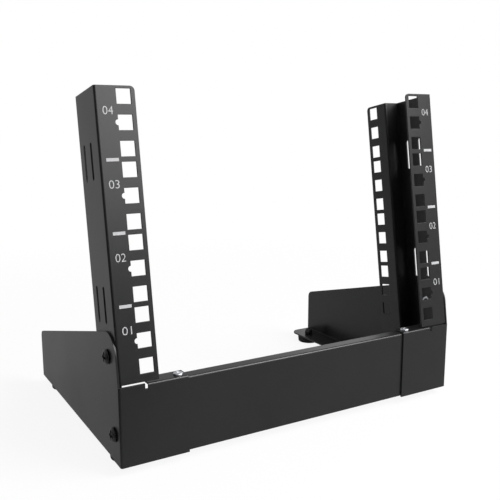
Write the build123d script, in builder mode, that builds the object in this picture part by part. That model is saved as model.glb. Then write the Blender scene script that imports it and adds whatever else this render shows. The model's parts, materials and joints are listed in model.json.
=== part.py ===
from build123d import *
import os
from math import cos, radians, sin, tan

# Desktop rack frame: two leaning folded uprights, two side bases, a front beam,
# four feet and the fasteners between them. Millimetres, X across, Y back, Z up.
# The origin lies on the floor, under the middle of the frame.

# Rack standard
unit_count = 4
unit_height = 44.45
unit_hole_heights = (6.35, 22.225, 38.1)
square_hole = 9.5
hole_row_spacing = 236.525
rack_opening = 221.7

# Sheet and folds
sheet = 1.2
inside_bend = 0.2

# Uprights
overall_width = 276.0
lean_angle = 8.85
upright_setback = 0.9
web_depth = 37.9
rear_wall_width = 14.2
rear_flange_length = 21.4
rear_hole_from_edge = 7.1
first_unit_rise = 4.4
flange_gap = 1.0
tail_length = 39.0
upright_corner = 3.0
key_notch_radius = 1.8
slot_length = 23.5
slot_width = 3.4
slot_setback = 14.4
slot_spacing = 13.1
slot_above_unit_line = 0.5

# Side bases
base_depth = 188.0
bracket_height = 52.1
bracket_width = 46.8
tab_width = 27.4
tab_depth = 11.3
relief_width = 2.1
relief_depth = 3.5
plate_rear_height = 39.6
plate_slope = 14.45
plate_front_corner = 14.5
plate_rear_corner = 6.0
floor_flange_width = 23.2
floor_flange_start = 12.5
floor_flange_corner = 9.0

# Front beam
beam_overlap = 17.3
beam_rise = 0.3
beam_flange = 8.4

# Feet
foot_radius = 10.6
foot_height = 6.0
foot_taper = 0.5
foot_edge = 0.8
foot_from_side = 12.9
front_foot_inset = 26.7
rear_foot_inset = 17.5
foot_recess_radius = 4.6
foot_seat_thickness = 2.8

# Fasteners: side bolts, beam screws and foot screws
bolt_radius = 2.5
bolt_head_radius = 4.9
bolt_head_height = 3.0
bolt_head_round = 1.2
bolt_setback = 15.0
bolt_rise = 17.5
bolt_spacing = 49.2
bolt_nut_width = 8.0
bolt_nut_height = 4.0
bolt_length = 8.0

beam_screw_radius = 1.5
beam_screw_head_radius = 3.2
beam_screw_head_height = 1.6
beam_screw_head_round = 0.7
beam_screw_setback = 4.9
beam_screw_from_end = 5.1
beam_screw_length = 5.6
collar_wall = 0.6
collar_height = 1.0

foot_screw_radius = 2.0
foot_screw_head_radius = 3.9
foot_screw_head_height = 2.4
foot_screw_head_round = 0.8
foot_nut_width = 7.0
foot_nut_height = 3.6
foot_nut_collar_height = 1.4
foot_nut_collar_inset = 0.4
foot_screw_length = 10.0

hole_clearance = 0.25
thread_clearance = 0.05
socket_share = 0.5

# Places worked out from the sizes
outside_bend = inside_bend + sheet
side_x = overall_width / 2
web_x = side_x - sheet
flange_edge_x = rack_opening / 2
hole_row_x = hole_row_spacing / 2
rear_flange_x = web_x - rear_wall_width
upright_back = web_depth + rear_flange_length
bracket_x = side_x - bracket_width
tab_x = bracket_x + tab_width
beam_end_x = bracket_x + beam_overlap
beam_screw_x = bracket_x + beam_screw_from_end
foot_x = side_x - foot_from_side
front_y = -base_depth / 2
lean = radians(lean_angle)
slope = tan(radians(plate_slope))

# Planes: across the floor sheet, up the front, up the side, and the upright's own three
plan = Plane(origin=(0, front_y, foot_height))
front_view = Plane(origin=plan.origin, x_dir=(1, 0, 0), z_dir=(0, -1, 0))
side_view = Plane(origin=plan.origin, x_dir=(0, 1, 0), z_dir=(1, 0, 0))
rail_origin = (0, front_y + upright_setback, foot_height + bracket_height)
rail_section = Plane(origin=rail_origin, x_dir=(1, 0, 0), z_dir=(0, sin(lean), cos(lean)))
rail_front = Plane(origin=rail_origin, x_dir=(1, 0, 0), z_dir=(0, -cos(lean), sin(lean)))
rail_side = Plane(origin=rail_origin, x_dir=(0, cos(lean), -sin(lean)), z_dir=(1, 0, 0))

# Heights up the upright from the level of the bracket's top edge
rail_top = first_unit_rise + unit_count * unit_height
hole_rows = [
    first_unit_rise + unit * unit_height + height
    for unit in range(unit_count)
    for height in unit_hole_heights
]
key_rows = [
    first_unit_rise + unit * unit_height + unit_hole_heights[1] for unit in range(unit_count)
]
slot_rows = [
    first_unit_rise + unit * unit_height + slot_above_unit_line for unit in range(1, unit_count, 2)
]

os.makedirs("parts", exist_ok=True)


def keep(piece, name):
    """Labels a finished piece and writes it under its node's name."""
    piece.part.label = name
    export_step(piece.part, f"parts/{name}.step")


def in_side_view(rise, back):
    """Depth and height, in the side view, of a point on the upright."""
    return (
        upright_setback + rise * sin(lean) + back * cos(lean),
        bracket_height + rise * cos(lean) - back * sin(lean),
    )


# Upright: a front flange, a web, a rear wall and a rear flange folded from one sheet
with BuildPart() as right_upright:
    with BuildSketch(rail_section.offset(-tail_length)):
        with BuildLine() as upright_outline:
            FilletPolyline(
                (flange_edge_x, 0),
                (web_x, 0),
                (web_x, web_depth),
                (rear_flange_x + sheet, web_depth),
                (rear_flange_x + sheet, upright_back),
                radius=[outside_bend, outside_bend, inside_bend],
            )
            offset(upright_outline.line, amount=sheet, side=Side.LEFT)
        make_face()
    extrude(amount=tail_length + rail_top)

    # The front flange stops above the bracket, and the web goes on down as a tail
    tail_front, tail_top = in_side_view(flange_gap, outside_bend)
    with BuildSketch(side_view):
        with BuildLine():
            Polyline(
                (tail_front, tail_top),
                in_side_view(flange_gap, -outside_bend),
                in_side_view(-bracket_height, -outside_bend),
                (tail_front, -foot_height),
                close=True,
            )
        make_face()
    extrude(amount=side_x, mode=Mode.SUBTRACT)

    # Rounded free corners at the top of both flanges
    front_corner = rail_section.from_local_coords((flange_edge_x, sheet / 2, rail_top))
    rear_corner = rail_section.from_local_coords((rear_flange_x + sheet / 2, upright_back, rail_top))
    fillet(
        [
            right_upright.edges().sort_by_distance(front_corner)[0],
            right_upright.edges().sort_by_distance(rear_corner)[0],
        ],
        radius=upright_corner,
    )

    # Square holes down the front flange, with a key notch in each unit's middle hole
    with BuildSketch(rail_front):
        with Locations(*[(hole_row_x, row) for row in hole_rows]):
            Rectangle(square_hole, square_hole)
        with Locations(*[(hole_row_x + square_hole / 2, row) for row in key_rows]):
            Circle(key_notch_radius)
    extrude(amount=-sheet, mode=Mode.SUBTRACT)

    # The same rows of square holes down the rear flange
    with BuildSketch(rail_side.offset(rear_flange_x)):
        with Locations(*[(upright_back - rear_hole_from_edge, row) for row in hole_rows]):
            Rectangle(square_hole, square_hole)
    extrude(amount=sheet, mode=Mode.SUBTRACT)

    # Pairs of long slots in the web, and the two bolt holes of the tail
    with BuildSketch(rail_side.offset(web_x)):
        with Locations(*[(slot_setback + n * slot_spacing, row) for n in (0, 1) for row in slot_rows]):
            SlotOverall(slot_length, slot_width, rotation=90)
        with Locations((bolt_setback, bolt_rise), (bolt_setback, bolt_rise - bolt_spacing)):
            Circle(bolt_radius + hole_clearance)
    extrude(amount=-sheet, mode=Mode.SUBTRACT)
keep(right_upright, "right_upright")

with BuildPart() as left_upright:
    mirror(right_upright.part, about=Plane.YZ)
keep(left_upright, "left_upright")


# Side base: plate, bracket, tab and floor flange folded from one sheet
plate_front_height = plate_rear_height + base_depth * slope
plate_corner_rise = (plate_front_height - upright_setback * slope - bracket_height) / (
    cos(lean) + slope * sin(lean)
)
with BuildPart() as right_side_base:
    # Plate: level below, sloped above, its front edge leaning as the upright does
    with BuildSketch(side_view.offset(web_x)) as plate_outline:
        with BuildLine():
            Polyline(
                (outside_bend, 0),
                (outside_bend, bracket_height),
                in_side_view(0, 0),
                in_side_view(plate_corner_rise, 0),
                (base_depth, plate_rear_height),
                (base_depth, outside_bend),
                (floor_flange_start, outside_bend),
                (floor_flange_start, 0),
                close=True,
            )
        make_face()
        fillet(plate_outline.vertices().sort_by(Axis.Y)[-1], radius=plate_front_corner)
        rear_top = plate_outline.vertices().sort_by_distance((base_depth, plate_rear_height))[0]
        fillet(rear_top, radius=plate_rear_corner)
    extrude(amount=sheet)

    # Bracket: the front fold, from the plate round to the bracket's inner end
    with BuildSketch(plan):
        with BuildLine() as bracket_outline:
            FilletPolyline(
                (bracket_x, 0), (side_x, 0), (side_x, 2 * outside_bend), radius=outside_bend
            )
            offset(bracket_outline.line, amount=sheet, side=Side.LEFT)
        make_face()
    extrude(amount=bracket_height)

    # The bracket gives way to the bend of its tab, with a relief notch beside it
    with BuildSketch(front_view):
        with Locations((bracket_x, bracket_height)):
            Rectangle(tab_width, outside_bend, align=(Align.MIN, Align.MAX))
        with Locations((tab_x, bracket_height)):
            Rectangle(relief_width, relief_depth, align=(Align.MIN, Align.MAX))
    extrude(amount=-sheet, mode=Mode.SUBTRACT)

    # Tab folded back over the beam
    with BuildSketch(side_view.offset(bracket_x)):
        with BuildLine() as tab_outline:
            FilletPolyline(
                (0, bracket_height - 2 * outside_bend),
                (0, bracket_height),
                (tab_depth, bracket_height),
                radius=outside_bend,
            )
            offset(tab_outline.line, amount=sheet, side=Side.RIGHT)
        make_face()
    extrude(amount=tab_width)

    # Floor flange, turned in under the plate
    with BuildSketch(front_view.offset(-floor_flange_start)):
        with BuildLine() as floor_outline:
            FilletPolyline(
                (side_x - floor_flange_width, 0),
                (side_x, 0),
                (side_x, 2 * outside_bend),
                radius=outside_bend,
            )
            offset(floor_outline.line, amount=sheet, side=Side.LEFT)
        make_face()
    extrude(amount=-(base_depth - floor_flange_start))
    flange_corner = plan.from_local_coords((side_x - floor_flange_width, base_depth, sheet / 2))
    fillet(right_side_base.edges().sort_by_distance(flange_corner)[0], radius=floor_flange_corner)

    # Holes for the side bolts, the beam screw and the foot screws
    with BuildSketch(rail_side.offset(web_x)):
        with Locations((bolt_setback, bolt_rise), (bolt_setback, bolt_rise - bolt_spacing)):
            Circle(bolt_radius + hole_clearance)
    extrude(amount=sheet, mode=Mode.SUBTRACT)
    with BuildSketch(plan.offset(bracket_height)):
        with Locations((beam_screw_x, beam_screw_setback)):
            Circle(beam_screw_radius + hole_clearance)
    extrude(amount=-sheet, mode=Mode.SUBTRACT)
    with BuildSketch(plan):
        with Locations((foot_x, front_foot_inset), (foot_x, base_depth - rear_foot_inset)):
            Circle(foot_screw_radius + hole_clearance)
    extrude(amount=sheet, mode=Mode.SUBTRACT)
keep(right_side_base, "right_side_base")

with BuildPart() as left_side_base:
    mirror(right_side_base.part, about=Plane.YZ)
keep(left_side_base, "left_side_base")


# Front beam: a channel that hangs behind the brackets, screwed up under their tabs
beam_top = bracket_height - sheet
with BuildPart() as front_beam:
    with BuildSketch(side_view):
        with BuildLine() as beam_outline:
            FilletPolyline(
                (sheet + beam_flange, beam_rise),
                (sheet, beam_rise),
                (sheet, beam_top),
                (sheet + beam_flange, beam_top),
                radius=outside_bend,
            )
            offset(beam_outline.line, amount=sheet, side=Side.RIGHT)
        make_face()
    extrude(amount=beam_end_x, both=True)

    # Tapped holes with drawn collars under the upper flange, for the beam screws
    with BuildSketch(plan.offset(beam_top - sheet)):
        with Locations(*[(n * beam_screw_x, beam_screw_setback) for n in (-1, 1)]):
            Circle(beam_screw_radius + collar_wall)
    extrude(amount=-collar_height)
    with BuildSketch(plan.offset(beam_top)):
        with Locations(*[(n * beam_screw_x, beam_screw_setback) for n in (-1, 1)]):
            Circle(beam_screw_radius + thread_clearance)
    extrude(amount=-(sheet + collar_height), mode=Mode.SUBTRACT)
keep(front_beam, "front_beam")


def make_screw(name, seat, outward, radius, length, head_radius, head_height, head_round):
    """A pan-head screw: its head bears on the seat and stands outward, its shank goes inward."""
    section = Plane(origin=seat, x_dir=(0, 1, 0), z_dir=Vector(0, 1, 0).cross(outward))
    with BuildPart() as screw:
        with BuildSketch(section) as half:
            with Locations((0, -length)):
                Rectangle(radius, length, align=(Align.MIN, Align.MIN))
            Rectangle(head_radius, head_height, align=(Align.MIN, Align.MIN))
            rim = half.vertices().sort_by_distance((head_radius, head_height))[0]
            fillet(rim, radius=head_round)
        revolve(axis=Axis(seat, outward))
        with BuildSketch(Plane(origin=seat + outward * head_height, z_dir=outward)):
            RegularPolygon(head_radius * socket_share, 6, major_radius=False)
        extrude(amount=-head_height * socket_share, mode=Mode.SUBTRACT)
    keep(screw, name)


def make_nut(name, seat, outward, width, height, bore_radius, collar_height=0.0):
    """A hexagon nut that stands outward from its seat, with a round collar if it is a lock nut."""
    with BuildPart() as nut:
        with BuildSketch(Plane(origin=seat, z_dir=outward)):
            RegularPolygon(width / 2, 6, major_radius=False)
        extrude(amount=height)
        if collar_height:
            with BuildSketch(Plane(origin=seat + outward * height, z_dir=outward)):
                Circle(width / 2 - foot_nut_collar_inset)
            extrude(amount=collar_height)
        with BuildSketch(Plane(origin=seat, z_dir=outward)):
            Circle(bore_radius + thread_clearance)
        extrude(amount=height + collar_height, mode=Mode.SUBTRACT)
    keep(nut, name)


up, down = Vector(0, 0, 1), Vector(0, 0, -1)
for side, sign in (("left", -1), ("right", 1)):
    outboard = Vector(sign, 0, 0)

    # Side bolts: the head bears on the plate, the nut on the upright's web
    for level, rise in (("upper", bolt_rise), ("lower", bolt_rise - bolt_spacing)):
        back, height = in_side_view(rise, bolt_setback)
        on_plate = plan.from_local_coords(Vector(sign * side_x, back, height))
        make_screw(
            f"{side}_{level}_bolt", on_plate, outboard,
            bolt_radius, bolt_length, bolt_head_radius, bolt_head_height, bolt_head_round,
        )
        make_nut(
            f"{side}_{level}_bolt_nut", on_plate - outboard * 2 * sheet, -outboard,
            bolt_nut_width, bolt_nut_height, bolt_radius,
        )

    # Beam screw, down through the bracket's tab
    on_tab = plan.from_local_coords(Vector(sign * beam_screw_x, beam_screw_setback, bracket_height))
    make_screw(
        f"{side}_beam_screw", on_tab, up,
        beam_screw_radius, beam_screw_length,
        beam_screw_head_radius, beam_screw_head_height, beam_screw_head_round,
    )

    # Feet: rubber, each with a screw up through its recess and a lock nut on the floor flange
    for end, back in (("front", front_foot_inset), ("rear", base_depth - rear_foot_inset)):
        foot_top = plan.from_local_coords(Vector(sign * foot_x, back, 0))
        with BuildPart() as foot:
            with BuildSketch(Plane(origin=foot_top, x_dir=(1, 0, 0), z_dir=(0, -1, 0))) as half:
                with BuildLine():
                    Polyline(
                        (foot_screw_radius + hole_clearance, 0),
                        (foot_radius, 0),
                        (foot_radius - foot_taper, -foot_height),
                        (foot_recess_radius, -foot_height),
                        (foot_recess_radius, -foot_seat_thickness),
                        (foot_screw_radius + hole_clearance, -foot_seat_thickness),
                        close=True,
                    )
                make_face()
                rim = half.vertices().sort_by_distance((foot_radius, -foot_height))[0]
                fillet(rim, radius=foot_edge)
            revolve(axis=Axis(foot_top, up))
        keep(foot, f"{end}_{side}_foot")
        make_screw(
            f"{end}_{side}_foot_screw", foot_top - up * foot_seat_thickness, down,
            foot_screw_radius, foot_screw_length,
            foot_screw_head_radius, foot_screw_head_height, foot_screw_head_round,
        )
        make_nut(
            f"{end}_{side}_foot_nut", foot_top + up * sheet, up,
            foot_nut_width, foot_nut_height, foot_screw_radius, foot_nut_collar_height,
        )
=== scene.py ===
"""Dresses the desktop rack frame: unit marks, fasteners, finishes, studio and camera."""

import json
import logging
from dataclasses import dataclass, field
from enum import Enum
from math import cos, pi, radians, sin, tan
from typing import Any, Union

import bpy
import numpy as np
from mathutils import Matrix, Vector


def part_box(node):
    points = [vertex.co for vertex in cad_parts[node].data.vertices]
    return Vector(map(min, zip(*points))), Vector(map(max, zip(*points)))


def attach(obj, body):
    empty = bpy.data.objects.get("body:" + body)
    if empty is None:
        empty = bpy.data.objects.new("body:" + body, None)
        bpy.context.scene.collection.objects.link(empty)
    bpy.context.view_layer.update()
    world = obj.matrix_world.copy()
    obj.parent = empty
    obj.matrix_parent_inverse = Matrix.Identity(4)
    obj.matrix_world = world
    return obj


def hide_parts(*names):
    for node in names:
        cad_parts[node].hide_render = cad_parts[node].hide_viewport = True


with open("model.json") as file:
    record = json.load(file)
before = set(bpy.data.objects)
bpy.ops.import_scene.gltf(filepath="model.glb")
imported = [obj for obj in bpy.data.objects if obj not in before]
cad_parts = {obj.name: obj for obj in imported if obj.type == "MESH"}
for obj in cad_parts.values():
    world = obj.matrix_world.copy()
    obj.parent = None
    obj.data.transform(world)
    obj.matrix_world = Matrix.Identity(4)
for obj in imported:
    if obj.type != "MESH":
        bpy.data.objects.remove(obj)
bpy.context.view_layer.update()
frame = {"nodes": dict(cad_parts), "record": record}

log = logging.getLogger("rack_frame")
MM = 0.001
BODY = "root"
TINY = 1e-9
WHITE = (1.0, 1.0, 1.0, 1.0)
# The corner numbers of a box's six faces, when its corners are counted with x fastest
BOX_FACES = ((0, 1, 3, 2), (4, 6, 7, 5), (0, 4, 5, 1), (2, 3, 7, 6), (0, 2, 6, 4), (1, 5, 7, 3))
# The Mix node's sockets when it mixes colours
MIX_SHARE, MIX_FIRST, MIX_SECOND, MIX_RESULT = 0, 6, 7, 2


class Slot(Enum):
    """The record's material slots."""

    POWDER_COAT = "powder_coat"
    BLACK_STEEL = "black_steel"
    ZINC_PLATE = "zinc_plate"
    RUBBER = "rubber"


class Facing(Enum):
    """The way a fastener's seat faces, out of the sheet."""

    LEFT = (-1.0, 0.0, 0.0)
    RIGHT = (1.0, 0.0, 0.0)
    UP = (0.0, 0.0, 1.0)
    DOWN = (0.0, 0.0, -1.0)

    def axes(self) -> np.ndarray:
        """Three unit rows: two across the axis and the axis itself, right-handed."""
        outward = np.array(self.value)
        across = np.array((0.0, 1.0, 0.0))
        return np.array((across, np.cross(outward, across), outward))


Value = Union["Signal", float]
Triple = Union["Signal", tuple[float, ...]]


class Signal:
    """A number or a vector that a shader works out, written as a Python value."""

    def __init__(self, bench: "Bench", socket: bpy.types.NodeSocket) -> None:
        """Wraps a socket of the bench's node tree."""
        self.bench = bench
        self.socket = socket

    def _math(self, operation: str, first: Value, second: Value = 0.0) -> "Signal":
        """Adds a Math node for two values."""
        return self.bench.node(
            "ShaderNodeMath", {"operation": operation}, {0: first, 1: second}
        )

    def __add__(self, other: Value) -> "Signal":
        """The sum."""
        return self._math("ADD", self, other)

    __radd__ = __add__

    def __mul__(self, other: Value) -> "Signal":
        """The product."""
        return self._math("MULTIPLY", self, other)

    __rmul__ = __mul__

    def __sub__(self, other: Value) -> "Signal":
        """This less the other."""
        return self._math("SUBTRACT", self, other)

    def __rsub__(self, other: Value) -> "Signal":
        """The other less this."""
        return self._math("SUBTRACT", other, self)

    def clipped(self, low: float, high: float) -> "Signal":
        """The share of the way from low to high, kept between 0 and 1."""
        return self.bench.node(
            "ShaderNodeMapRange",
            {"clamp": True},
            {"Value": self, "From Min": low, "From Max": high},
        )


@dataclass
class Bench:
    """A node tree under work, with one method that adds any node."""

    tree: bpy.types.NodeTree

    def node(
        self,
        kind: str,
        settings: dict[str, Any] | None = None,
        inputs: dict[Union[int, str], Any] | None = None,
        output: Union[int, str] = 0,
    ) -> Signal:
        """Adds a node, sets it up and feeds it.

        Args:
            kind: the node's type.
            settings: its settings, set before its sockets.
            inputs: a value or a Signal for each socket, by name or number.
            output: the socket that is handed back.

        Returns:
            The chosen output as a Signal.
        """
        made = self.tree.nodes.new(kind)
        for name, value in (settings or {}).items():
            setattr(made, name, value)
        for name, value in (inputs or {}).items():
            if isinstance(value, Signal):
                self.tree.links.new(value.socket, made.inputs[name])
            else:
                made.inputs[name].default_value = value
        return Signal(self, made.outputs[output])

    def noise(self, place: Signal, size: float, detail: float = 2.0) -> Signal:
        """Noise between 0 and 1, whose features are about a given size in metres."""
        return self.node(
            "ShaderNodeTexNoise", inputs={"Vector": place, "Scale": 1 / size, "Detail": detail}
        )

    def dot(self, first: Triple, second: Triple) -> Signal:
        """The dot product of two vectors."""
        return self.node(
            "ShaderNodeVectorMath", {"operation": "DOT_PRODUCT"}, {0: first, 1: second},
            output="Value",
        )

    def mix(self, share: Value, first: Triple, second: Triple) -> Signal:
        """A colour the given share of the way from the first colour to the second."""
        return self.node(
            "ShaderNodeMix",
            {"data_type": "RGBA", "clamp_factor": True},
            {MIX_SHARE: share, MIX_FIRST: first, MIX_SECOND: second},
            output=MIX_RESULT,
        )

    def end(self, kind: str, shader: Signal) -> None:
        """Feeds a shader to the tree's output node of that type."""
        made = self.tree.nodes.new(kind)
        self.tree.links.new(shader.socket, made.inputs["Surface"])


@dataclass(frozen=True)
class Finish:
    """A surface finish: its colour and gloss, how they wander, its grain and its worn edges.

    Lengths are in metres. A share of 0.1 lets a value wander by a tenth of itself, and the
    tones are the darkest and the lightest shade that the colour can take, as shares of it.
    Worn edges show in patches, where the rounded normal turns away from the flat one.
    """

    name: str
    colour: tuple[float, float, float]
    roughness: float
    metallic: float = 0.0
    specular: float = 0.5
    cloud_size: float = 0.04
    cloud_share: float = 0.15
    speck_size: float = 0.0004
    speck_share: float = 0.1
    grain_size: float = 0.0006
    grain_depth: float = 0.00001
    edge_radius: float = 0.0
    edge_colour: tuple[float, float, float] = (0.2, 0.2, 0.2)
    edge_share: float = 0.0
    rough_share: float = 0.15
    tones: tuple[float, float] = (0.6, 1.4)
    speck_detail: float = 1.0
    bevel_samples: int = 6
    edge_turn: tuple[float, float] = (0.02, 0.25)
    patch_share: float = 0.2
    patch_detail: float = 3.0
    patch_range: tuple[float, float] = (0.2, 0.6)

    def worn(self, bench: Bench, place: Signal, rounded: Signal) -> Signal:
        """The share of the edge colour that shows.

        It grows with one less the dot product of the rounded and the flat normal.

        Args:
            bench: the material's node tree.
            place: the Object coordinates.
            rounded: the normal over rounded edges.

        Returns:
            A share that is 0 away from the edges.
        """
        flat = bench.node("ShaderNodeNewGeometry", output="Normal")
        turned = (1.0 - bench.dot(rounded, flat)).clipped(*self.edge_turn)
        patches = bench.noise(place, self.cloud_size * self.patch_share, self.patch_detail)
        return turned * patches.clipped(*self.patch_range) * self.edge_share

    def material(self) -> bpy.types.Material:
        """Builds the finish as a node material.

        Returns:
            The material, whose patterns follow the Object coordinates.
        """
        made = bpy.data.materials.new(self.name)
        made.use_nodes = True
        made.node_tree.nodes.clear()
        bench = Bench(made.node_tree)
        place = bench.node("ShaderNodeTexCoord", output="Object")
        cloud = bench.noise(place, self.cloud_size) - 0.5
        speck = bench.noise(place, self.speck_size, self.speck_detail) - 0.5
        shade = cloud * (2 * self.cloud_share) + speck * (2 * self.speck_share)
        darkest, lightest = self.tones
        dark, light = (tuple(c * tone for c in self.colour) + (1.0,) for tone in self.tones)
        colour = bench.mix(shade * (1 / (lightest - darkest)) + 0.5, dark, light)
        rough = cloud * (2 * self.rough_share * self.roughness) + self.roughness
        grain = bench.noise(place, self.grain_size)
        bump = {"Height": grain, "Strength": 1.0, "Distance": self.grain_depth}
        if self.edge_radius:
            rounded = bench.node(
                "ShaderNodeBevel", {"samples": self.bevel_samples}, {"Radius": self.edge_radius}
            )
            bump["Normal"] = rounded
            colour = bench.mix(
                self.worn(bench, place, rounded), colour, self.edge_colour + (1.0,)
            )
        shader = bench.node(
            "ShaderNodeBsdfPrincipled",
            inputs={
                "Base Color": colour,
                "Roughness": rough,
                "Metallic": self.metallic,
                "Specular IOR Level": self.specular,
                "Normal": bench.node("ShaderNodeBump", inputs=bump),
            },
        )
        bench.end("ShaderNodeOutputMaterial", shader)
        return made


FINISHES = {
    Slot.POWDER_COAT: Finish(
        name="black powder coat", colour=(0.0116, 0.0116, 0.012), roughness=0.32,
        cloud_size=0.05, cloud_share=0.12, speck_size=0.0005, speck_share=0.12,
        grain_size=0.0007, grain_depth=0.000012,
        edge_radius=0.00032, edge_colour=(0.06, 0.06, 0.063), edge_share=0.25,
    ),
    Slot.BLACK_STEEL: Finish(
        name="black oxide", colour=(0.016, 0.016, 0.018), roughness=0.3,
        cloud_size=0.004, cloud_share=0.2, speck_size=0.0003, grain_size=0.0003,
        grain_depth=0.000003, edge_radius=0.00012, edge_colour=(0.12, 0.12, 0.125),
        edge_share=0.5,
    ),
    Slot.ZINC_PLATE: Finish(
        name="zinc plate", colour=(0.8, 0.81, 0.85), roughness=0.4, metallic=1.0,
        cloud_size=0.003, cloud_share=0.1, speck_size=0.0003, speck_share=0.08,
        grain_size=0.0003, grain_depth=0.000002, rough_share=0.25,
    ),
    Slot.RUBBER: Finish(
        name="moulded rubber", colour=(0.012, 0.012, 0.013), roughness=0.72, specular=0.35,
        cloud_size=0.008, cloud_share=0.2, speck_size=0.0003, speck_share=0.2,
        grain_size=0.0005, grain_depth=0.00002,
    ),
}
PRINT = Finish(
    name="grey screen print", colour=(0.43, 0.43, 0.44), roughness=0.55, specular=0.4,
    cloud_size=0.006, cloud_share=0.05, speck_size=0.00025, speck_share=0.08,
    grain_size=0.0004, grain_depth=0.000004,
)
materials = {slot: finish.material() for slot, finish in FINISHES.items()}
print_material = PRINT.material()


def wrapped(rows: int, columns: int, closed_rows: bool) -> np.ndarray:
    """The quads of a grid of points whose columns run round and close.

    Quad (i, j) joins point (i, j) to its neighbours in the next row and the next column.

    Args:
        rows: how many rows of points there are.
        columns: how many points are in a row.
        closed_rows: whether the last row joins the first.

    Returns:
        An array of four point numbers for each quad.
    """
    last = rows if closed_rows else rows - 1
    i, j = np.meshgrid(np.arange(last), np.arange(columns), indexing="ij")
    down, on = (i + 1) % rows, (j + 1) % columns
    corners = (i * columns + j, down * columns + j, down * columns + on, i * columns + on)
    return np.stack(corners, axis=-1).reshape(-1, 4)


def piece_from(
    name: str, points: np.ndarray, faces: list[np.ndarray], sharp: float = 35.0
) -> bpy.types.Object:
    """Makes a closed piece whose faces point outwards.

    The signed volume, a sixth of the sum of the triple products of the faces' fans, tells
    whether the faces have to be turned round.

    Args:
        name: the piece's name.
        points: one row of three numbers for each point, in metres.
        faces: arrays of point numbers, one array for each number of corners.
        sharp: the angle in degrees above which an edge stays sharp.

    Returns:
        The object, at the origin, riding on the part's one body.
    """
    volume = sum(
        float(np.einsum("ij,ij->", points[f[:, 0]], np.cross(points[f[:, k]], points[f[:, k + 1]])))
        for f in faces
        for k in range(1, f.shape[1] - 1)
    )
    if volume < 0:
        faces = [f[:, ::-1] for f in faces]
    mesh = bpy.data.meshes.new(name)
    mesh.from_pydata(points.tolist(), [], [face for f in faces for face in f.tolist()])
    mesh.shade_smooth()
    mesh.set_sharp_from_angle(angle=radians(sharp))
    made = bpy.data.objects.new(name, mesh)
    bpy.context.scene.collection.objects.link(made)
    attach(made, BODY)
    log.info("%s: %d points", name, len(points))
    return made


def dress(piece: bpy.types.Object, material: bpy.types.Material) -> None:
    """Gives a piece one material."""
    piece.data.materials.clear()
    piece.data.materials.append(material)


@dataclass
class Seat:
    """Where a fastener sits: the CAD node it stands for, and the way it faces.

    Its axis goes through the middle of the node's box.
    """

    node: str
    facing: Facing

    def origin(self, inward: float) -> np.ndarray:
        """The point of the axis that lies a given depth behind the node's outer end."""
        low, high = (np.array(corner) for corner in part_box(self.node))
        outward = np.array(self.facing.value)
        half = np.abs((high - low) / 2 * outward)
        return (low + high) / 2 + outward * (half - inward)

    def reach(self) -> tuple[float, float]:
        """The node's length along the axis, and its largest radius about it."""
        low, high = (np.array(corner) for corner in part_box(self.node))
        along = int(np.argmax(np.abs(self.facing.value)))
        return float((high - low)[along]), float(np.delete(high - low, along).max()) / 2

    def placed(
        self, origin: np.ndarray, across: np.ndarray, angle: np.ndarray, height: np.ndarray
    ) -> np.ndarray:
        """Turns polar coordinates about the axis into points.

        A point is the origin, plus its distance times the cosine and the sine of its angle
        along the two cross axes, plus its height along the outward axis.

        Args:
            origin: the zero of the heights.
            across: distances from the axis, a row of them for each ring of points.
            angle: the angles about the axis of a ring's points.
            height: heights along the axis, shaped as the distances.

        Returns:
            An array of points in metres.
        """
        local = np.stack((across * np.cos(angle), across * np.sin(angle), height), axis=-1)
        return origin + (local @ self.facing.axes()).reshape(-1, 3)


@dataclass(frozen=True)
class HeadShape:
    """The proportions of a screw head and of its cross recess.

    Heights and depths: the crown is a share of the CAD head's height. The dome, the recess,
    the rise of the recess's outer floor and the sink of its edge are shares of the crown. The
    waist's height is a share of what the dome leaves under the rim.

    Widths: the arms and the foot, where the head meets the sheet, are shares of the head's
    radius. The two rings of the recess's floor and its rounded edge are shares of the cross's
    outline. The waist lies a share of the way from the rim in to the foot.
    """

    crown: float = 1.0
    dome: float = 0.45
    recess: float = 0.62
    arm: float = 0.55
    arm_width: float = 0.15
    foot: float = 0.985
    inner_floor: float = 0.45
    outer_floor: float = 0.92
    floor_rise: float = 0.12
    edge: float = 1.04
    edge_sink: float = 0.04
    waist: float = 0.4
    waist_height: float = 0.45


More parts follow.
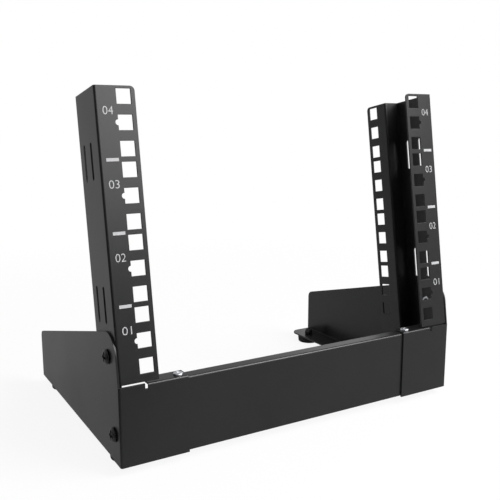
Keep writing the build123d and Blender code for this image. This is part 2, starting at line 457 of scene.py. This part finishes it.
@dataclass
class CrossHeadScrew:
    """A pan-head screw with a cross recess and a rolled thread.

    Sizes are in metres. The thread's depth is a share of its pitch. It starts a share of the
    radius below the head, and its end narrows by a share of the radius.
    """

    seat: Seat
    radius: float
    head_radius: float
    head_height: float
    length: float
    pitch: float
    slot: Slot
    shape: HeadShape
    columns: int = 96
    dome_rows: int = 9
    thread_rows_per_pitch: int = 6
    thread_depth: float = 0.54
    thread_start: float = 0.4
    end_taper: float = 0.25

    def cross_outline(self, angle: np.ndarray) -> np.ndarray:
        """Distance from the axis to a cross's edge.

        With the angle folded about the nearest arm, it is the nearer of the arm's end, its
        length over the cosine, and the arm's side, its half width over the sine.

        Args:
            angle: angles about the axis.

        Returns:
            One distance for each angle.
        """
        folded = (angle + pi / 4) % (pi / 2) - pi / 4
        arm = self.shape.arm * self.head_radius
        half_width = self.shape.arm_width * self.head_radius
        to_side = half_width / np.maximum(np.abs(np.sin(folded)), TINY)
        return np.minimum(arm / np.cos(folded), to_side)

    def dome(self, across: np.ndarray) -> np.ndarray:
        """The dome's height at a distance from the axis, a quarter ellipse from crown to rim."""
        crown = self.shape.crown * self.head_height
        fall = 1 - np.sqrt(np.clip(1 - (across / self.head_radius) ** 2, 0, 1))
        return crown * (1 - self.shape.dome * fall)

    def thread(self, depth: np.ndarray, angle: np.ndarray) -> np.ndarray:
        """Distance from the axis to the thread.

        It is the radius less a triangle wave of the depth over the pitch plus the share of
        the turn, and a taper narrows the last pitch.

        Args:
            depth: depths under the head, as a column.
            angle: angles about the axis, as a row.

        Returns:
            One distance for each depth and angle.
        """
        turn = (depth / self.pitch + angle / (2 * pi)) % 1.0
        groove = self.thread_depth * self.pitch * (1 - np.abs(2 * turn - 1))
        run_in = np.clip((depth - self.thread_start * self.radius) / self.pitch, 0, 1)
        run_out = np.clip((depth - self.length + self.pitch) / self.pitch, 0, 1)
        return self.radius - groove * run_in - run_out * self.end_taper * self.radius

    def build(self, name: str) -> bpy.types.Object:
        """Makes the screw as one surface carried from the recess to the shank's end.

        Rows of points go out over the recess floor, up its walls, from the cross's edge over
        the dome to the rim, down the rim, in under the head and down the thread.

        Args:
            name: the piece's name.

        Returns:
            The screw, dressed, in its CAD node's place.
        """
        shape = self.shape
        angle = np.linspace(0, 2 * pi, self.columns, endpoint=False)
        cross, ring = self.cross_outline(angle), np.ones(self.columns)
        crown = shape.crown * self.head_height
        floor = crown * (1 - shape.recess)
        edge = cross * shape.edge
        step = np.sin(np.linspace(0, pi / 2, self.dome_rows))[:, None]
        over = edge + (self.head_radius - edge) * step
        depths = max(2, int(self.length / self.pitch * self.thread_rows_per_pitch))
        depth = np.linspace(0, self.length, depths)[1:, None]
        waist = 1 - shape.waist + shape.waist * shape.foot
        across = np.vstack((
            cross * shape.inner_floor,
            cross * shape.outer_floor,
            cross,
            over,
            waist * self.head_radius * ring,
            shape.foot * self.head_radius * ring,
            self.radius * ring,
            self.thread(depth, angle[None]),
        ))
        height = np.vstack((
            floor * ring,
            (floor + shape.floor_rise * crown) * ring,
            self.dome(edge) - shape.edge_sink * crown,
            self.dome(over),
            shape.waist_height * (1 - shape.dome) * crown * ring,
            0 * ring,
            0 * ring,
            -depth * ring,
        ))
        origin = self.seat.origin(self.head_height)
        points = self.seat.placed(origin, across, angle, height)
        outward = np.array(self.seat.facing.value)
        poles = np.array((origin + outward * floor, origin - outward * self.length))
        last = len(points) - self.columns
        j = np.arange(self.columns)
        on = (j + 1) % self.columns
        top = np.stack((np.full_like(j, len(points)), j, on), axis=-1)
        end = np.stack((np.full_like(j, len(points) + 1), last + on, last + j), axis=-1)
        faces = [wrapped(len(across), self.columns, False), top, end]
        made = piece_from(name, np.concatenate((points, poles)), faces)
        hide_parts(self.seat.node)
        dress(made, materials[self.slot])
        return made


@dataclass
class HexNut:
    """A hexagon nut with chamfered corners, and a round collar if it is a lock nut.

    Sizes are in metres. The washer face and the collar are shares of the nut's half width, the
    collar's rounding is a share of the collar's height, and the sink is the chamfer at both
    ends of the bore.
    """

    seat: Seat
    width: float
    height: float
    bore: float
    slot: Slot
    collar: float = 0.0
    chamfer: float = radians(30)
    washer_share: float = 0.95
    collar_share: float = 0.86
    collar_round: float = 0.45
    collar_rows: int = 5
    fillet: float = 0.2 * MM
    sink: float = 0.3 * MM
    columns: int = 96

    def outline(self, angle: np.ndarray) -> np.ndarray:
        """Distance to the hexagon's side: half the width over the folded angle's cosine."""
        folded = (angle + pi / 6) % (pi / 3) - pi / 6
        return self.width / 2 / np.cos(folded)

    def build(self, name: str) -> bpy.types.Object:
        """Makes the nut as one surface carried round its wall.

        A corner stands past the washer face's circle, so the end faces fall away there by the
        distance past the circle times the chamfer's tangent.

        Args:
            name: the piece's name.

        Returns:
            The nut, dressed, in its CAD node's place.
        """
        angle = np.linspace(0, 2 * pi, self.columns, endpoint=False) + pi / 6
        side = self.outline(angle)
        circle = self.washer_share * self.width / 2
        fall = np.maximum(side - circle, 0) * tan(self.chamfer)
        rows = [
            (self.bore, self.sink), (self.bore + self.sink, 0.0), (circle, 0.0), (side, fall),
            (side, self.height - fall), (circle, self.height),
        ]
        top = self.height + self.collar
        if self.collar:
            wall, turn = self.collar_share * self.width / 2, self.collar_round * self.collar
            mouth = self.bore + 2 * self.sink
            rows += [(wall + self.fillet, self.height), (wall, self.height + self.fillet)]
            rows += [
                (wall - turn * (1 - cos(a)), top - turn + turn * sin(a))
                for a in np.linspace(0, pi / 2, self.collar_rows)
            ]
            rows += [(mouth, top), (mouth, top - self.sink)]
        lip = top - self.sink if self.collar else top
        rows += [(self.bore + self.sink, lip), (self.bore, top - 2 * self.sink)]
        across = np.stack([np.broadcast_to(r, angle.shape) for r, _ in rows])
        height = np.stack([np.broadcast_to(h, angle.shape) for _, h in rows])
        points = self.seat.placed(self.seat.origin(top), across, angle, height)
        made = piece_from(name, points, [wrapped(len(rows), self.columns, True)])
        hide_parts(self.seat.node)
        dress(made, materials[self.slot])
        return made


@dataclass
class Fasteners:
    """Every screw, bolt and nut of the frame.

    Radii, head heights and the nuts' widths repeat those of the CAD solids, in metres. The
    pitches are those of coarse metric threads, and the clearance widens the nuts' bores.
    """

    bolt_radius: float = 2.5 * MM
    bolt_head: float = 3.0 * MM
    bolt_pitch: float = 0.8 * MM
    bolt_nut: float = 8.0 * MM
    beam_screw_radius: float = 1.5 * MM
    beam_screw_head: float = 1.6 * MM
    beam_screw_pitch: float = 0.5 * MM
    foot_screw_radius: float = 2.0 * MM
    foot_screw_head: float = 2.4 * MM
    foot_screw_pitch: float = 0.7 * MM
    foot_nut: float = 7.0 * MM
    foot_nut_collar: float = 1.4 * MM
    clearance: float = 0.05 * MM
    bolt_shape: HeadShape = HeadShape(
        crown=0.9, dome=0.72, recess=0.7, arm=0.66, arm_width=0.17, foot=0.84
    )
    beam_screw_shape: HeadShape = HeadShape(dome=0.55, recess=0.14, arm=0.26, arm_width=0.07)

    def screw(
        self,
        node: str,
        facing: Facing,
        radius: float,
        head_height: float,
        pitch: float,
        slot: Slot,
        shape: HeadShape = HeadShape(),
    ) -> None:
        """Builds a screw in its CAD node's place.

        Args:
            node: the CAD node.
            facing: the way its head faces.
            radius: the thread's outer radius.
            head_height: the head's height.
            pitch: the thread's pitch.
            slot: its material slot.
            shape: the head's proportions.
        """
        seat = Seat(node, facing)
        length, head_radius = seat.reach()
        CrossHeadScrew(
            seat, radius, head_radius, head_height, length - head_height, pitch, slot, shape
        ).build(f"{node}_cross_head")

    def nut(
        self,
        node: str,
        facing: Facing,
        width: float,
        bore: float,
        slot: Slot,
        collar: float = 0.0,
    ) -> None:
        """Builds a nut in its CAD node's place.

        Args:
            node: the CAD node.
            facing: the way its free end faces.
            width: its width across flats.
            bore: the radius of the thread in it.
            slot: its material slot.
            collar: its collar's height, 0 for none.
        """
        seat = Seat(node, facing)
        height = seat.reach()[0] - collar
        bore += self.clearance
        HexNut(seat, width, height, bore, slot, collar).build(f"{node}_chamfered")

    def build(self) -> None:
        """Builds the fasteners of both sides."""
        for side, outboard, inboard in (
            ("left", Facing.LEFT, Facing.RIGHT),
            ("right", Facing.RIGHT, Facing.LEFT),
        ):
            for level in ("upper", "lower"):
                bolt = f"{side}_{level}_bolt"
                self.screw(
                    bolt, outboard, self.bolt_radius, self.bolt_head, self.bolt_pitch,
                    Slot.BLACK_STEEL, self.bolt_shape,
                )
                self.nut(
                    f"{bolt}_nut", inboard, self.bolt_nut, self.bolt_radius, Slot.ZINC_PLATE
                )
            self.screw(
                f"{side}_beam_screw", Facing.UP, self.beam_screw_radius, self.beam_screw_head,
                self.beam_screw_pitch, Slot.ZINC_PLATE, self.beam_screw_shape,
            )
            for end in ("front", "rear"):
                foot = f"{end}_{side}_foot"
                self.screw(
                    f"{foot}_screw", Facing.DOWN, self.foot_screw_radius, self.foot_screw_head,
                    self.foot_screw_pitch, Slot.BLACK_STEEL,
                )
                self.nut(
                    f"{foot}_nut", Facing.UP, self.foot_nut, self.foot_screw_radius,
                    Slot.BLACK_STEEL, self.foot_nut_collar,
                )


@dataclass
class Rail:
    """The leaning front face of the uprights, on which the unit marks are printed.

    Its sizes repeat those of the CAD, in metres. Its foot lies the setback behind the side
    bases' front, at the bracket's height above the feet.
    """

    lean: float = radians(8.85)
    setback: float = 0.9 * MM
    foot_height: float = 6.0 * MM
    bracket_height: float = 52.1 * MM
    front: float = field(default_factory=lambda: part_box("right_side_base")[0].y)

    def points(self, across: np.ndarray, rise: np.ndarray, proud: np.ndarray) -> np.ndarray:
        """Places points on the face.

        A point is the rail's foot, plus its rise along the lean, plus its stand along the
        face's normal.

        Args:
            across: places across the frame.
            rise: distances up the face.
            proud: how far the points stand in front of it.

        Returns:
            One row of three numbers for each point, in metres.
        """
        y = self.front + self.setback + rise * sin(self.lean) - proud * cos(self.lean)
        z = self.foot_height + self.bracket_height + rise * cos(self.lean) + proud * sin(self.lean)
        return np.stack((across, y, z), axis=-1)


@dataclass(frozen=True)
class PrintPlace:
    """Where the printing sits on one upright, in metres.

    The numbers and the lines each have their middle across the frame, and all are moved up.
    """

    numbers: float
    lines: float
    up: float


@dataclass
class UnitMarks:
    """The unit numbers and the lines between units, screen printed beside the holes.

    The two uprights are not printed in quite the same place. The ink is half the printing's
    thickness, and the thinning, in font units, takes a little off both sides of every stroke.
    """

    rail: Rail
    left: PrintPlace = PrintPlace(numbers=-129.0 * MM, lines=-128.7 * MM, up=-0.25 * MM)
    right: PrintPlace = PrintPlace(numbers=129.5 * MM, lines=129.6 * MM, up=0.7 * MM)
    units: int = 4
    unit_height: float = 44.45 * MM
    first_rise: float = 4.4 * MM
    line_width: float = 7.9 * MM
    line_height: float = 2.0 * MM
    number_rise: float = 29.65 * MM
    number_height: float = 5.0 * MM
    number_widths: tuple[float, ...] = (6.15 * MM, 6.6 * MM, 6.6 * MM, 6.6 * MM)
    ink: float = 0.04 * MM
    thinning: float = 0.009
    curve_steps: int = 6

    def lines(self, side: str, place: PrintPlace) -> None:
        """Builds a side's lines as flat closed slabs, each the eight corners of a box.

        Args:
            side: the side's name.
            place: where its printing sits.
        """
        rises = self.first_rise + place.up + self.unit_height * np.arange(1, self.units)
        corner = np.array([(x, s, p) for p in (-1, 1) for s in (-1, 1) for x in (-1, 1)], float)
        across, rise, proud = np.broadcast_arrays(
            place.lines + corner[None, :, 0] * self.line_width / 2,
            rises[:, None] + corner[None, :, 1] * self.line_height / 2,
            corner[None, :, 2] * self.ink,
        )
        first = len(corner) * np.arange(len(rises))
        faces = (np.array(BOX_FACES)[None] + first[:, None, None]).reshape(-1, 4)
        points = self.rail.points(across.ravel(), rise.ravel(), proud.ravel())
        made = piece_from(f"{side}_unit_lines", points, [faces])
        dress(made, print_material)

    def number(self, side: str, place: PrintPlace, unit: int) -> None:
        """Builds one unit's number, a thin raised print fitted to its width and height.

        Each point keeps its share of the way across the lettering, up it and through it.

        Args:
            side: the side's name.
            place: where its printing sits.
            unit: the unit, counted from 1 at the bottom.
        """
        text = bpy.data.curves.new("number", "FONT")
        text.body = f"{unit:02d}"
        text.extrude = self.ink
        text.resolution_u = self.curve_steps
        text.offset = -self.thinning
        draft = bpy.data.objects.new("number", text)
        bpy.context.scene.collection.objects.link(draft)
        bpy.context.view_layer.update()
        solved = draft.evaluated_get(bpy.context.evaluated_depsgraph_get())
        flat = bpy.data.meshes.new_from_object(solved)
        bpy.data.objects.remove(draft)
        points = np.zeros(len(flat.vertices) * 3)
        flat.vertices.foreach_get("co", points)
        points = points.reshape(-1, 3)
        low, high = points.min(axis=0), points.max(axis=0)
        share = (points - (low + high) / 2) / (high - low)
        rise = self.first_rise + place.up + (unit - 1) * self.unit_height + self.number_rise
        placed = self.rail.points(
            place.numbers + share[:, 0] * self.number_widths[unit - 1],
            rise + share[:, 1] * self.number_height,
            share[:, 2] * 2 * self.ink,
        )
        flat.vertices.foreach_set("co", placed.ravel())
        flat.update()
        made = bpy.data.objects.new(f"{side}_unit_number_{unit}", flat)
        bpy.context.scene.collection.objects.link(made)
        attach(made, BODY)
        dress(made, print_material)
        log.info("%s: %d points", made.name, len(points))

    def build(self) -> None:
        """Builds the marks of both uprights."""
        for side, place in (("left", self.left), ("right", self.right)):
            self.lines(side, place)
            for unit in range(1, self.units + 1):
                self.number(side, place, unit)


@dataclass
class SheetMetal:
    """The CAD nodes, of which the folded sheets and the feet show as they are."""

    nodes: dict[str, Slot] = field(
        default_factory=lambda: {
            row["node"]: Slot(row["material_slot"]) for row in frame["record"]["subparts"]
        }
    )

    def build(self) -> None:
        """Dresses every CAD node, also those that a piece replaces later."""
        for name, slot in self.nodes.items():
            node = frame["nodes"][name]
            dress(node, materials[slot])
            log.info("%s: %s", name, slot.value)


@dataclass
class SoftBox:
    """A square lamp, whose level is the light it throws on a face that looks straight at it.

    A level of 1 makes a white face white. Places and sizes are in metres.
    """

    name: str
    place: tuple[float, float, float]
    size: float
    level: float
    aim: tuple[float, float, float] = (0.0, 0.0, 0.1)

    def build(self) -> None:
        """Hangs the lamp, whose power is its level times the distance squared times pi squared."""
        lamp = bpy.data.lights.new(self.name, "AREA")
        lamp.shape = "SQUARE"
        lamp.size = self.size
        away = Vector(self.place) - Vector(self.aim)
        lamp.energy = self.level * pi**2 * away.length_squared
        made = bpy.data.objects.new(self.name, lamp)
        made.location = self.place
        made.rotation_mode = "QUATERNION"
        made.rotation_quaternion = away.to_track_quat("Z", "Y")
        made.visible_camera = False
        bpy.context.scene.collection.objects.link(made)
        log.info("%s: %.1f W", self.name, lamp.energy)


@dataclass
class Studio:
    """The floor and the room round the frame, the lamps, and the camera.

    The room's light, which also shows in the floor's mirrored glow, has a dark and a bright
    side. How far a direction points to a side is their dot product, and a turn is the range of
    it over which the light changes. For the floor the range is in metres along the side.
    Angles are in degrees, places in metres, and the lens is given in pixels of the image.
    """

    room_light: float = 0.365
    dark_side: tuple[float, float, float] = (-0.86, -0.51, 0.0)
    dark_turn: tuple[float, float] = (0.55, 0.9)
    dark_floor: tuple[float, float] = (0.15, 0.24)
    dark_share: float = 0.97
    bright_side: tuple[float, float, float] = (-0.08, 1.0, 0.0)
    bright_turn: tuple[float, float] = (0.2, 1.0)
    bright_floor: tuple[float, float] = (0.0, 0.5)
    bright_light: float = 0.14
    floor_size: float = 12.0
    floor_colour: float = 0.9
    shadow_share: float = 0.1
    shadow_reach: tuple[float, float] = (0.25, 0.8)
    sensor: float = 36.0
    image_width: float = 500.0
    focal_pixels: float = 682.20
    axis_pixel: tuple[float, float] = (234.50, 250.28)
    camera_place: tuple[float, float, float] = (-0.26867, -0.46759, 0.21157)
    yaw: float = 29.539
    pitch: float = 10.087
    roll: float = -0.251
    clip_start: float = 0.01
    lamps: tuple[SoftBox, ...] = (
        SoftBox("key lamp", (0.52, -1.28, 0.98), 1.2, 0.53),
        SoftBox("edge lamp", (0.84, -0.86, 1.25), 0.95, 0.82),
        SoftBox("back lamp", (1.15, 1.0, 0.5), 0.7, 0.035),
    )

    def surround(self) -> None:
        """The world, which is white to the camera and lights the frame as the room does."""
        world = bpy.data.worlds.new("studio")
        bpy.context.scene.world = world
        world.use_nodes = True
        world.node_tree.nodes.clear()
        bench = Bench(world.node_tree)
        toward = bench.node("ShaderNodeTexCoord", output="Generated")
        room = self.lit(bench, toward, self.dark_turn, self.bright_turn)
        light = bench.node("ShaderNodeBackground", inputs={"Color": WHITE, "Strength": room})
        white = bench.node("ShaderNodeBackground", inputs={"Color": WHITE, "Strength": 1.0})
        bench.end(
            "ShaderNodeOutputWorld",
            bench.node("ShaderNodeMixShader", inputs={0: self.seen(bench), 1: light, 2: white}),
        )

    def lit(
        self, bench: Bench, toward: Signal, dark: tuple[float, float], bright: tuple[float, float]
    ) -> Signal:
        """The room's light, which falls towards its dark side and grows towards its bright side.

        Args:
            bench: the node tree.
            toward: a direction or a place.
            dark: how far towards the dark side the light starts and ends its fall.
            bright: how far towards the bright side it starts and ends its growth.

        Returns:
            The light's strength.
        """
        fall = bench.dot(toward, self.dark_side).clipped(*dark)
        growth = bench.dot(toward, self.bright_side).clipped(*bright)
        return (1.0 - fall * self.dark_share) * self.room_light + growth * self.bright_light

    def seen(self, bench: Bench) -> Signal:
        """1 for the camera's own rays, also through glass, and 0 for all others."""
        direct = bench.node("ShaderNodeLightPath", output="Is Camera Ray")
        through = bench.node("ShaderNodeLightPath", output="Is Transmission Ray")
        return direct + through

    def floor(self) -> None:
        """The floor, which glows white to the camera and keeps a share of the frame's shadow.

        In mirrored rays it glows as the room does, and for all other light it is matt.
        """
        half = self.floor_size / 2
        corners = [(-half, -half, 0), (half, -half, 0), (half, half, 0), (-half, half, 0)]
        mesh = bpy.data.meshes.new("floor")
        mesh.from_pydata(corners, [], [(0, 1, 2, 3)])
        made = bpy.data.objects.new("floor", mesh)
        bpy.context.scene.collection.objects.link(made)
        paint = bpy.data.materials.new("floor paint")
        paint.use_nodes = True
        paint.node_tree.nodes.clear()
        bench = Bench(paint.node_tree)
        matt = bench.node(
            "ShaderNodeBsdfDiffuse", inputs={"Color": (self.floor_colour,) * 3 + (1.0,)}
        )
        place = bench.node("ShaderNodeTexCoord", output="Object")
        seen, mirrored = self.seen(bench), bench.node("ShaderNodeLightPath", output="Is Glossy Ray")
        room = self.lit(bench, place, self.dark_floor, self.bright_floor)
        glow = bench.node(
            "ShaderNodeEmission", inputs={"Color": WHITE, "Strength": seen + mirrored * room}
        )
        far = bench.node(
            "ShaderNodeVectorMath", {"operation": "LENGTH"}, {0: place}, output="Value"
        ).clipped(*self.shadow_reach)
        share = (seen + mirrored) * (1 - (1 - far) * self.shadow_share)
        bench.end(
            "ShaderNodeOutputMaterial",
            bench.node("ShaderNodeMixShader", inputs={0: share, 1: matt, 2: glow}),
        )
        dress(made, paint)

    def camera(self) -> None:
        """The camera, turned by its yaw, pitch and roll, its axis moved to its own pixel."""
        lens = bpy.data.cameras.new("camera")
        lens.sensor_width = self.sensor
        lens.lens = self.focal_pixels / self.image_width * self.sensor
        middle = (self.image_width - 1) / 2
        lens.shift_x = (middle - self.axis_pixel[0]) / self.image_width
        lens.shift_y = (self.axis_pixel[1] - middle) / self.image_width
        lens.clip_start = self.clip_start
        made = bpy.data.objects.new("camera", lens)
        turn = (
            Matrix.Rotation(-radians(self.yaw), 4, "Z")
            @ Matrix.Rotation(radians(90 - self.pitch), 4, "X")
            @ Matrix.Rotation(radians(self.roll), 4, "Z")
        )
        made.matrix_world = Matrix.Translation(self.camera_place) @ turn
        bpy.context.scene.collection.objects.link(made)
        bpy.context.scene.camera = made

    def build(self) -> None:
        """Sets up the studio."""
        bpy.context.scene.view_settings.view_transform = "Standard"
        self.surround()
        self.floor()
        for lamp in self.lamps:
            lamp.build()
        self.camera()


def main() -> None:
    """Builds the frame's classes in order."""
    logging.basicConfig(level=logging.INFO, format="%(message)s")
    SheetMetal().build()
    Fasteners().build()
    UnitMarks(Rail()).build()
    Studio().build()


if __name__ == "__main__":
    main()
